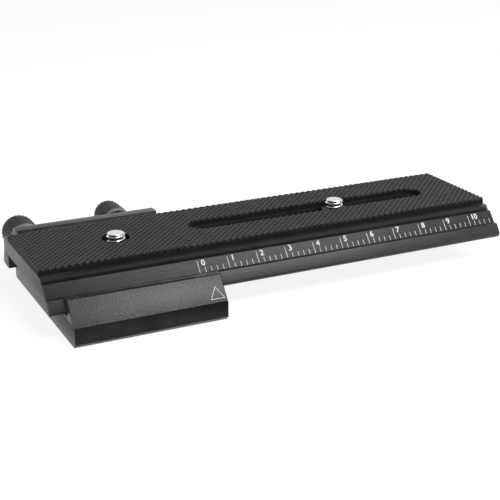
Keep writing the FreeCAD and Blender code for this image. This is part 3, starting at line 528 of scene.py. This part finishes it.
@dataclass
class RailDeck:
    """The extruded rail, its rubber pad and the scale along its sloped face.

    The pad has a net of ridges round pits, a round hole and a long slot. Ticks are counted from tick_zero.
    The numeral_share is how much of the font's size a number's height fills.
    """

    edge: float = 0.16
    net_pitch: float = 1.53
    net_pitch_across: float = 1.596
    net_turn: float = 45
    net_ridge: float = 0.42
    net_lean: float = 0.22
    net_depth: float = 0.6
    side_reach: float = 0.1
    pad_corner: float = 0.4
    corner_steps: int = 24
    hole_place: float = 1.0
    opening_radius: float = 4.5
    opening_steps: int = 48
    slot_left: float = 30.35
    slot_right: float = 109.3
    tick_zero: float = 19.3
    tick_step: float = 2.0
    tick_count: int = 54
    ticks_per_number: int = 5
    tick_foot: float = 0.12
    tick_width: float = 0.18
    long_tick: float = 3.75
    short_tick: float = 1.6
    ink_height: float = 0.02
    numeral_count: int = 11
    numeral_height: float = 1.9
    numeral_share: float = 0.72
    numeral_steps: int = 3
    numeral_base: float = 2.35
    numeral_gap: float = 1.15
    numeral_weight: float = 0.075
    scale_foot: Vector = field(default_factory=lambda: Vector((0.0, -23.9, 12.5)))
    scale_head: Vector = field(default_factory=lambda: Vector((0.0, -21.0, 15.9)))

    def build(self) -> None:
        """Builds the rail's pieces in order."""
        self.plate()
        self.pad()
        self.ticks()
        self.numerals()

    def plate(self) -> None:
        """The rail itself, with every machined edge broken."""
        mesh = merged_copy("rail_plate")
        soften(mesh, self.edge)
        place_piece(mesh, "rail_extrusion", ANODISED, "rail", ["rail_plate"])

    def pad(self) -> None:
        """The rubber pad, moulded with a net of ridges that cross the rail aslant."""
        low, high = (Vector(corner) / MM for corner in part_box("rubber_pad"))
        mesh = self.net(low, high)
        inner_low = Vector((low.x + self.pad_corner, low.y + self.pad_corner, 0.0))
        inner_high = Vector((high.x - self.pad_corner, high.y - self.pad_corner, 0.0))
        corners = [Vector((along, across, 0.0)) for along in (inner_low.x, inner_high.x)
                   for across in (inner_low.y, inner_high.y)]
        trim(mesh, tangents(corners, self.pad_corner, self.corner_steps))
        for ends in ((self.hole_place,), (self.slot_left, self.slot_right)):
            centres = [Vector((place, 0.0, 0.0)) for place in ends]
            pierce(mesh, tangents(centres, self.opening_radius, self.opening_steps), self.net_pitch)
        close_sheet(mesh, low.z * MM)
        # The pad's sides, opening walls and underside get painted shade: the darker copy of the rubber
        for face in mesh.faces:
            if min(corner.co.z for corner in face.verts) < (low.z + self.side_reach) * MM:
                face.material_index = OTHER_FINISH
        place_piece(mesh, "netted_pad", RUBBER, "rail", ["rubber_pad"], smooth=20.0,
                    other=RUBBER_SIDE_SHADED)

    def net(self, low: Vector, high: Vector) -> bmesh.types.BMesh:
        """The net alone: an open sheet of ridges round nearly square pits with leaning walls.

        Args:
            low: the pad's lowest corner.
            high: its highest corner.

        Returns:
            A sheet that runs past the pad on every side.
        """
        centre = (low + high) / 2
        half = (high - low) / 2
        cells = 2 * math.ceil((high - low).length / 2 / self.net_pitch)
        middle = Matrix.Translation(Vector((centre.x, centre.y, high.z)) * MM)
        stretch = Matrix.Diagonal((1.0, self.net_pitch_across / self.net_pitch, 1.0, 1.0))
        mesh = bmesh.new()
        bmesh.ops.create_grid(mesh, x_segments=cells, y_segments=cells, size=cells * self.net_pitch * MM / 2,
                              matrix=middle @ Matrix.Rotation(math.radians(self.net_turn), 4, "Z") @ stretch)
        far = []
        for face in mesh.faces:
            place = face.calc_center_median() / MM - centre
            if abs(place.x) > half.x + self.net_pitch or abs(place.y) > half.y + self.net_pitch:
                far.append(face)
        bmesh.ops.delete(mesh, geom=far, context="FACES")
        pits = list(mesh.faces)
        bmesh.ops.inset_individual(mesh, faces=pits, thickness=self.net_ridge / 2 * MM, depth=0.0)
        bmesh.ops.inset_individual(mesh, faces=pits, thickness=self.net_lean * MM,
                                   depth=-self.net_depth * MM)
        return mesh

    def on_scale(self, across: float, up: float) -> Matrix:
        """Gives a place on the scale, with its own X along the rail and its Y up the slope.

        Args:
            across: how far along the rail it lies.
            up: how far up the slope from its foot.

        Returns:
            The place, in metres.
        """
        side, rise, outward = slope_axes(self.scale_foot, self.scale_head)
        spot = (self.scale_foot + side * across + rise * up) * MM
        turn = Matrix((side, rise, outward)).transposed().to_4x4()
        return Matrix.Translation(spot) @ turn

    def ticks(self) -> None:
        """The marks of the scale: a long one each centimetre and short ones between."""
        mesh = bmesh.new()
        for count in range(self.tick_count + 1):
            length = self.short_tick if count % self.ticks_per_number else self.long_tick
            spot = self.on_scale(self.tick_zero + count * self.tick_step, length / 2 + self.tick_foot)
            size = Matrix.Diagonal((self.tick_width * MM, length * MM, self.ink_height * MM, 1.0))
            bmesh.ops.create_cube(mesh, size=1.0, matrix=spot @ size)
        place_piece(mesh, "scale_ticks", INK, "rail")

    def numerals(self) -> None:
        """The centimetre numbers, each to the right of its long mark."""
        mesh = bmesh.new()
        for number in range(self.numeral_count):
            data = self.numeral(number)
            mesh.from_mesh(data)
            bpy.data.meshes.remove(data)
        weld(mesh)
        place_piece(mesh, "scale_numerals", INK, "rail")

    def numeral(self, number: int) -> bpy.types.Mesh:
        """Makes one number of the scale.

        Args:
            number: the number that it shows.

        Returns:
            Its thin mesh, in its place.
        """
        curve = bpy.data.curves.new("numeral", "FONT")
        curve.body = str(number)
        curve.size = self.numeral_height / self.numeral_share * MM
        curve.offset = self.numeral_weight * MM
        curve.extrude = self.ink_height / 2 * MM
        curve.resolution_u = self.numeral_steps
        text = bpy.data.objects.new("numeral", curve)
        bpy.context.collection.objects.link(text)
        state = bpy.context.evaluated_depsgraph_get()
        data = bpy.data.meshes.new_from_object(text.evaluated_get(state))
        across = self.tick_zero + number * self.ticks_per_number * self.tick_step + self.numeral_gap
        data.transform(self.on_scale(across, self.numeral_base))
        bpy.data.objects.remove(text)
        bpy.data.curves.remove(curve)
        return data


@dataclass
class Base:
    """The cast base with the index triangle on its jaw."""

    edge: float = 0.2
    upright: float = 0.97
    land_reach: float = 0.2
    index_side: float = 4.7
    index_line: float = 0.36
    ink_height: float = 0.06
    index_centre: float = 20.95
    index_low: float = 1.1
    slope_foot: Vector = field(default_factory=lambda: Vector((0.0, -33.9, 6.4)))
    slope_head: Vector = field(default_factory=lambda: Vector((0.0, -28.5, 13.1)))

    def build(self) -> None:
        """Builds the base's pieces in order."""
        mesh = merged_copy("base_block")
        soften(mesh, self.edge)
        # Faces upright along the rail and the jaw's narrow top get painted shade: the darker copy of the
        # coating
        for face in mesh.faces:
            if self.is_painted_shade(face):
                face.material_index = OTHER_FINISH
        place_piece(mesh, "cast_base", CAST_ZINC, "base", ["base_block"],
                    other=CAST_SHADED)
        self.index()

    def is_painted_shade(self, face: bmesh.types.BMFace) -> bool:
        """Says whether a face gets the painted shade of the darker copy of the coating.

        Args:
            face: a face of the base.

        Returns:
            Whether it stands upright along the rail, or lies level on top of the jaw.
        """
        above = abs(face.calc_center_median().z / MM - self.slope_head.z)
        land = face.normal.z > self.upright and above < self.land_reach
        return abs(face.normal.y) > self.upright or land

    def index(self) -> None:
        """The outlined triangle that the scale is read against."""
        side, rise, outward = slope_axes(self.slope_foot, self.slope_head)
        foot = self.slope_foot + side * self.index_centre + rise * self.index_low
        height = self.index_side * math.sqrt(3) / 2
        mesh = bmesh.new()
        corners = [foot - side * self.index_side / 2, foot + side * self.index_side / 2,
                   foot + rise * height]
        face = mesh.faces.new([mesh.verts.new(corner * MM) for corner in corners])
        face.normal_update()
        bmesh.ops.inset_individual(mesh, faces=[face], thickness=self.index_line * MM)
        bmesh.ops.delete(mesh, geom=[face], context="FACES_ONLY")
        bmesh.ops.translate(mesh, verts=mesh.verts, vec=-outward * self.ink_height / 2 * MM)
        grown = bmesh.ops.extrude_face_region(mesh, geom=list(mesh.faces))["geom"]
        bmesh.ops.translate(mesh, verts=of_kind(grown, bmesh.types.BMVert),
                            vec=outward * self.ink_height * MM)
        face_out(mesh)
        place_piece(mesh, "index_triangle", INK, "base")


@dataclass
class Knob:
    """A turned knob with a diamond knurl round its grip.

    Its sleeve_wall is the thickness of the knurled sleeve as a share of its radius.
    """

    node: str
    body: str
    radius: float
    start: float
    length: float
    hub_radius: float
    hub_start: float
    hub_chamfer: float = 0.15
    chamfer: float = 0.5
    recess_radius: float = 3.4
    recess_depth: float = 0.6
    recess_chamfer: float = 0.12
    recess_draft: float = 0.2
    flat: float = 0.9
    knurl_pitch: float = 1.0
    knurl_depth: float = 0.4
    sleeve_gap: float = 0.02
    sleeve_wall: float = 0.15

    def build(self) -> None:
        """Builds the knob's core and its knurled sleeve as one piece."""
        low, high = (Vector(corner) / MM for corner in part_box(self.node))
        centre = Vector(((low.x + high.x) / 2, 0.0, (low.z + high.z) / 2))
        end = self.start + self.length
        root = self.radius - self.knurl_depth
        core = spun([
            (self.hub_start, 0.0),
            (self.hub_start, self.hub_radius - self.hub_chamfer),
            (self.hub_start + self.hub_chamfer, self.hub_radius),
            (self.start, self.hub_radius),
            (self.start, root - self.chamfer),
            (self.start + self.chamfer, root),
            (end - self.chamfer, root),
            (end, root - self.chamfer),
            (end, self.recess_radius + self.recess_chamfer),
            (end - self.recess_chamfer, self.recess_radius),
            (end - self.recess_depth, self.recess_radius - self.recess_draft),
            (end - self.recess_depth, 0.0),
        ], "Y", centre)
        # Faces square to the axis get painted shade: the nearly black second finish
        for face in core.faces:
            if abs(face.normal.y) > self.flat:
                face.material_index = OTHER_FINISH
        join_into(core, self.sleeve(centre, root))
        place_piece(core, f"knurled_{self.node}", ANODISED_KNOB, self.body, [self.node],
                    smooth=28.0, other=ANODISED_FACE_SHADED)

    def sleeve(self, centre: Vector, root: float) -> bmesh.types.BMesh:
        """The knurl: a tube of diamonds, each raised to a point.

        Args:
            centre: the knob's axis, where Y is nought.
            root: the radius at the bottom of the knurl.

        Returns:
            The closed sleeve.
        """
        square = self.knurl_pitch * math.sqrt(2)
        around = round(math.tau * self.radius / square)
        first = self.start + self.chamfer
        last = self.start + self.length - self.chamfer
        rows = round((last - first) / square)
        mesh = bmesh.new()
        rings = [mesh.verts.new((centre + Vector((root + self.sleeve_gap, place, 0))) * MM)
                 for place in (first + (last - first) * row / rows for row in range(rows + 1))]
        edges = [mesh.edges.new(pair) for pair in zip(rings, rings[1:])]
        bmesh.ops.spin(mesh, geom=[*rings, *edges], cent=centre * MM, axis=(0, 1, 0), angle=math.tau,
                       steps=around, use_merge=True)
        weld(mesh)
        face_out(mesh)
        squares = [edge for edge in mesh.edges if not edge.is_boundary]
        bmesh.ops.poke(mesh, faces=mesh.faces, offset=0.0)
        bmesh.ops.dissolve_edges(mesh, edges=squares, use_verts=False)
        face_out(mesh)
        if sum(face.normal.dot(face.calc_center_median() - centre * MM) for face in mesh.faces) < 0:
            bmesh.ops.reverse_faces(mesh, faces=mesh.faces)
        diamonds = [face for face in mesh.faces if len(face.verts) == 4]
        bmesh.ops.poke(mesh, faces=diamonds, offset=self.knurl_depth * MM)
        inner = bmesh.ops.extrude_edge_only(mesh, edges=open_edges(mesh))["geom"]
        for corner in of_kind(inner, bmesh.types.BMVert):
            spoke = Vector((corner.co.x - centre.x * MM, 0.0, corner.co.z - centre.z * MM))
            corner.co -= spoke * self.sleeve_wall
        bmesh.ops.bridge_loops(mesh, edges=open_edges(mesh))
        face_out(mesh)
        return mesh


@dataclass
class CameraScrew:
    """A captive 1/4 inch camera screw with a knurled disc below and a rolled thread on top.

    Its grip_bite is the depth of the disc's knurl as a share of the disc's radius.
    """

    node: str
    body: str
    radius: float = 2.95
    minor: float = 2.15
    pitch: float = 1.27
    groove: float = 0.6
    first_crest: float = 18.62
    neck: float = 2.3
    neck_fall: float = 0.1
    disc_radius: float = 7.0
    disc_thick: float = 1.6
    disc_edge: float = 0.25
    coin_radius: float = 4.75
    coin_depth: float = 0.5
    coin_draft: float = 0.15
    thread_low: float = 18.0
    thread_sink: float = 0.1
    top: float = 20.95
    top_clear: float = 0.02
    tip_radius: float = 2.55
    tip_thick: float = 0.3
    tip_edge: float = 0.12
    tip_flare: float = 0.1
    tip_corner: float = 0.08
    crest: float = 0.14
    crest_round: float = 0.16
    root_reach: float = 2.3
    root_spare: float = 0.06
    body_steps: int = 72
    turn_steps: int = 48
    grip_teeth: int = 60
    grip_gap: float = 0.02
    grip_bite: float = 0.04

    def build(self) -> None:
        """Builds the screw's core, its thread and the grip of its disc as one piece."""
        low, high = (Vector(corner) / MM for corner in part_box(self.node))
        centre = Vector(((low.x + high.x) / 2, 0.0, 0.0))
        foot = low.z
        disc_top = foot + self.disc_thick
        rim = self.disc_radius - self.disc_edge
        tip_foot = self.top - self.tip_thick
        core = spun([
            (foot + self.coin_depth, 0.0),
            (foot + self.coin_depth, self.coin_radius - self.coin_draft),
            (foot, self.coin_radius),
            (foot, rim - self.disc_edge),
            (foot + self.disc_edge, rim),
            (disc_top - self.disc_edge, rim),
            (disc_top, rim - self.disc_edge),
            (disc_top, self.neck),
            (self.thread_low, self.neck),
            (self.thread_low + self.neck_fall, self.minor),
            (tip_foot, self.minor),
            (tip_foot + self.tip_edge, self.tip_radius + self.tip_flare),
            (self.top - self.tip_edge, self.tip_radius),
            (self.top, self.tip_radius - self.tip_corner),
            (self.top, 0.0),
        ], "Z", centre, steps=self.body_steps)
        join_into(core, self.thread(centre))
        join_into(core, self.grip(centre, foot + self.disc_edge, disc_top - self.disc_edge))
        # Faces deep in the thread between its foot and its tip get painted shade: the nearly black second
        # finish
        for face in core.faces:
            middle = face.calc_center_median() / MM - centre
            threaded = self.thread_low < middle.z < tip_foot + self.root_spare
            if threaded and middle.xy.length < self.root_reach:
                face.material_index = OTHER_FINISH
        place_piece(core, f"threaded_{self.node}", STAINLESS, self.body, [self.node],
                    smooth=32.0, other=THREAD_ROOT_SHADED)

    def thread(self, centre: Vector) -> bmesh.types.BMesh:
        """The rolled thread: one closed ridge wound up the core, chamfered at the tip.

        Args:
            centre: the screw's axis, where Z is nought.

        Returns:
            The closed ridge.
        """
        half = (self.pitch - self.groove) / 2
        rise = self.top - self.tip_thick - self.first_crest
        turns = rise / self.pitch
        steps = round(turns * self.turn_steps)
        inner = self.minor - self.thread_sink
        flank = self.radius - self.crest_round
        shoulder = self.crest / 2 + self.crest_round
        section = [(inner, -half), (flank, -shoulder), (self.radius, -self.crest / 2),
                   (self.radius, self.crest / 2), (flank, shoulder), (inner, half)]
        mesh = bmesh.new()
        start = centre + Vector((0, 0, self.first_crest))
        corners = [mesh.verts.new((start + Vector((-reach, 0, up))) * MM) for reach, up in section]
        face = mesh.faces.new(corners)
        bmesh.ops.spin(mesh, geom=[face, *face.edges, *corners], cent=centre * MM, axis=(0, 0, 1),
                       dvec=(0, 0, rise * MM / steps), angle=math.tau * turns, steps=steps,
                       use_duplicate=False)
        weld(mesh)
        bmesh.ops.holes_fill(mesh, edges=open_edges(mesh))
        for corner in mesh.verts:
            self.chamfer(corner, centre)
        face_out(mesh)
        return mesh

    def chamfer(self, corner: bmesh.types.BMVert, centre: Vector) -> None:
        """Draws a point of the thread in to the cone at the screw's tip, and down to its top.

        Args:
            corner: the point.
            centre: the screw's axis.
        """
        corner.co.z = min(corner.co.z, (self.top - self.top_clear) * MM)
        spoke = Vector((corner.co.x - centre.x * MM, corner.co.y))
        limit = self.tip_radius * MM + max(self.top * MM - corner.co.z, 0.0)
        if spoke.length > limit:
            spoke = spoke.normalized() * limit
            corner.co.x = centre.x * MM + spoke.x
            corner.co.y = spoke.y

    def grip(self, centre: Vector, low: float, high: float) -> bmesh.types.BMesh:
        """The straight knurl round the disc: a ring with a toothed outline.

        Args:
            centre: the screw's axis.
            low: the height of the ring's foot.
            high: the height of its top.

        Returns:
            The closed ring.
        """
        mesh = bmesh.new()
        bmesh.ops.create_circle(mesh, cap_ends=False, segments=2 * self.grip_teeth,
                                radius=(self.disc_radius - self.grip_gap) * MM,
                                matrix=Matrix.Translation((centre + Vector((0, 0, low))) * MM))
        for count, corner in enumerate(mesh.verts):
            if count % 2:
                corner.co -= Vector((corner.co.x - centre.x * MM, corner.co.y, 0)) * self.grip_bite
        raised = bmesh.ops.extrude_edge_only(mesh, edges=list(mesh.edges))["geom"]
        bmesh.ops.translate(mesh, verts=of_kind(raised, bmesh.types.BMVert), vec=(0, 0, (high - low) * MM))
        bmesh.ops.holes_fill(mesh, edges=open_edges(mesh))
        face_out(mesh)
        return mesh


def dress_nodes() -> None:
    """Gives each CAD node that stays in view its finish."""
    for node, finish in NODE_FINISH.items():
        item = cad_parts[node]
        for place in item.material_slots:
            place.material = finish.material()
        LOG.info("%s: dressed in %s", node, finish.name)


@dataclass
class Studio:
    """A pale floor, a white surround, one softbox and the camera at the photograph's angle.

    The sweep is white up to sweep_top degrees above the level and at ceiling_level from ceiling_low degrees.
    """

    eye: Vector = field(default_factory=lambda: Vector((-109.02, -323.45, 138.52)))
    look: Vector = field(default_factory=lambda: Vector((0.4095, 0.8457, -0.3422)))
    up: Vector = field(default_factory=lambda: Vector((0.1512, 0.3069, 0.9396)))
    focal_pixels: float = 1150.2
    frame_pixels: float = 500.0
    sensor: float = 36.0
    near_clip: float = 10.0
    floor_reach: float = 4000.0
    floor_gap: float = 0.05
    floor_lighting: str = "#7a7a7a"
    floor_seen: str = "#7c7c7c"
    floor_glow: float = 0.88
    sweep_top: float = 26.0
    ceiling_low: float = 42.0
    ceiling_level: float = 0.3
    diffuse_level: float = 0.5
    box_place: Vector = field(default_factory=lambda: Vector((335.0, -410.0, 570.0)))
    box_length: float = 720.0
    box_width: float = 380.0
    box_glow: float = 10.5

    def build(self) -> None:
        """Sets the camera, the floor, the world and the softbox."""
        scene = bpy.context.scene
        scene.view_settings.view_transform = "Standard"
        self.camera(scene)
        self.floor()
        self.world(scene)
        self.softbox()

    def camera(self, scene: bpy.types.Scene) -> None:
        """Places the camera that was fitted to the photograph.

        Args:
            scene: the scene that it shows.
        """
        data = bpy.data.cameras.new("view")
        data.sensor_width = self.sensor
        data.lens = self.focal_pixels / self.frame_pixels * self.sensor
        data.clip_start = self.near_clip * MM
        eye = bpy.data.objects.new("view", data)
        back = -self.look.normalized()
        side = self.up.cross(back).normalized()
        turn = Matrix((side, back.cross(side), back)).transposed().to_4x4()
        eye.matrix_world = Matrix.Translation(self.eye * MM) @ turn
        scene.collection.objects.link(eye)
        scene.camera = eye

    def floor(self) -> None:
        """Lays a plain pale floor just under the base."""
        mesh = bmesh.new()
        bmesh.ops.create_grid(mesh, x_segments=1, y_segments=1, size=self.floor_reach * MM,
                              matrix=Matrix.Translation((0, 0, CAD_BOX[0][2] - self.floor_gap * MM)))
        data = bpy.data.meshes.new("floor")
        mesh.to_mesh(data)
        mesh.free()
        data.materials.append(self.floor_paint())
        floor = bpy.data.objects.new("floor", data)
        bpy.context.collection.objects.link(floor)

    def floor_paint(self) -> bpy.types.Material:
        """Makes the floor's paint: white where it is seen or mirrored, and grey where it lights the object.

        Returns:
            The paint.
        """
        paint = bpy.data.materials.new("pale_floor")
        paint.use_nodes = True
        tree = paint.node_tree
        tree.nodes.clear()
        path = add_node(tree, "ShaderNodeLightPath").outputs
        seen = add_node(tree, "ShaderNodeMath", {0: path["Is Camera Ray"], 1: path["Is Glossy Ray"]},
                        operation="MAXIMUM").outputs[0]
        shown = add_node(tree, "ShaderNodeMath", {0: seen, 1: path["Is Transmission Ray"]},
                         operation="MAXIMUM").outputs[0]
        grey = add_node(tree, "ShaderNodeBsdfDiffuse", {"Color": linear(self.floor_lighting)}).outputs[0]
        pale = add_node(tree, "ShaderNodeBsdfDiffuse", {"Color": linear(self.floor_seen)}).outputs[0]
        glow = add_node(tree, "ShaderNodeEmission", {"Color": WHITE, "Strength": self.floor_glow}).outputs[0]
        lit = add_node(tree, "ShaderNodeAddShader", {0: pale, 1: glow}).outputs[0]
        mixed = add_node(tree, "ShaderNodeMixShader", {"Fac": shown, 1: grey, 2: lit}).outputs[0]
        add_node(tree, "ShaderNodeOutputMaterial", {"Surface": mixed})
        return paint

    def world(self, scene: bpy.types.Scene) -> None:
        """Surrounds the object with a white sweep that darkens towards the ceiling.

        Args:
            scene: the scene that it surrounds.
        """
        scene.world = bpy.data.worlds.new("studio")
        scene.world.use_nodes = True
        tree = scene.world.node_tree
        tree.nodes.clear()
        place = add_node(tree, "ShaderNodeTexCoord").outputs["Generated"]
        height = add_node(tree, "ShaderNodeSeparateXYZ", {0: place}).outputs["Z"]
        strength = add_node(tree, "ShaderNodeMapRange", {
            "Value": height, "From Min": math.sin(math.radians(self.sweep_top)),
            "From Max": math.sin(math.radians(self.ceiling_low)), "To Min": 1.0,
            "To Max": self.ceiling_level}).outputs["Result"]
        path = add_node(tree, "ShaderNodeLightPath").outputs
        level = add_node(tree, "ShaderNodeMapRange", {
            "Value": path["Is Diffuse Ray"], "To Min": 1.0, "To Max": self.diffuse_level}).outputs["Result"]
        total = add_node(tree, "ShaderNodeMath", {0: strength, 1: level}, operation="MULTIPLY").outputs[0]
        glow = add_node(tree, "ShaderNodeBackground", {"Color": WHITE, "Strength": total}).outputs[0]
        add_node(tree, "ShaderNodeOutputWorld", {"Surface": glow})

    def softbox(self) -> None:
        """Hangs one long level softbox where the jaw's slope and the scale mirror it to the camera."""
        data = bpy.data.lights.new("softbox", "AREA")
        data.shape = "RECTANGLE"
        data.size = self.box_length * MM
        data.size_y = self.box_width * MM
        data.energy = self.box_glow * math.pi * data.size * data.size_y
        lamp = bpy.data.objects.new("softbox", data)
        lamp.location = self.box_place * MM
        bpy.context.scene.collection.objects.link(lamp)


def main() -> None:
    """Builds the pieces in order, dresses the rest and sets the studio."""
    logging.basicConfig(level=logging.INFO, format="%(name)s: %(message)s")
    RailDeck().build()
    Base().build()
    Knob("focus_knob", "focus", radius=5.8, start=32.5, length=11.6, hub_radius=3.8, hub_start=31.35).build()
    Knob("lock_knob", "lock", radius=5.05, start=30.6, length=11.6, hub_radius=3.2, hub_start=30.1,
         recess_radius=2.9).build()
    CameraScrew("front_camera_screw", "front_screw").build()
    CameraScrew("slot_camera_screw", "slot_screw").build()
    dress_nodes()
    Studio().build()


if __name__ == "__main__":
    main()
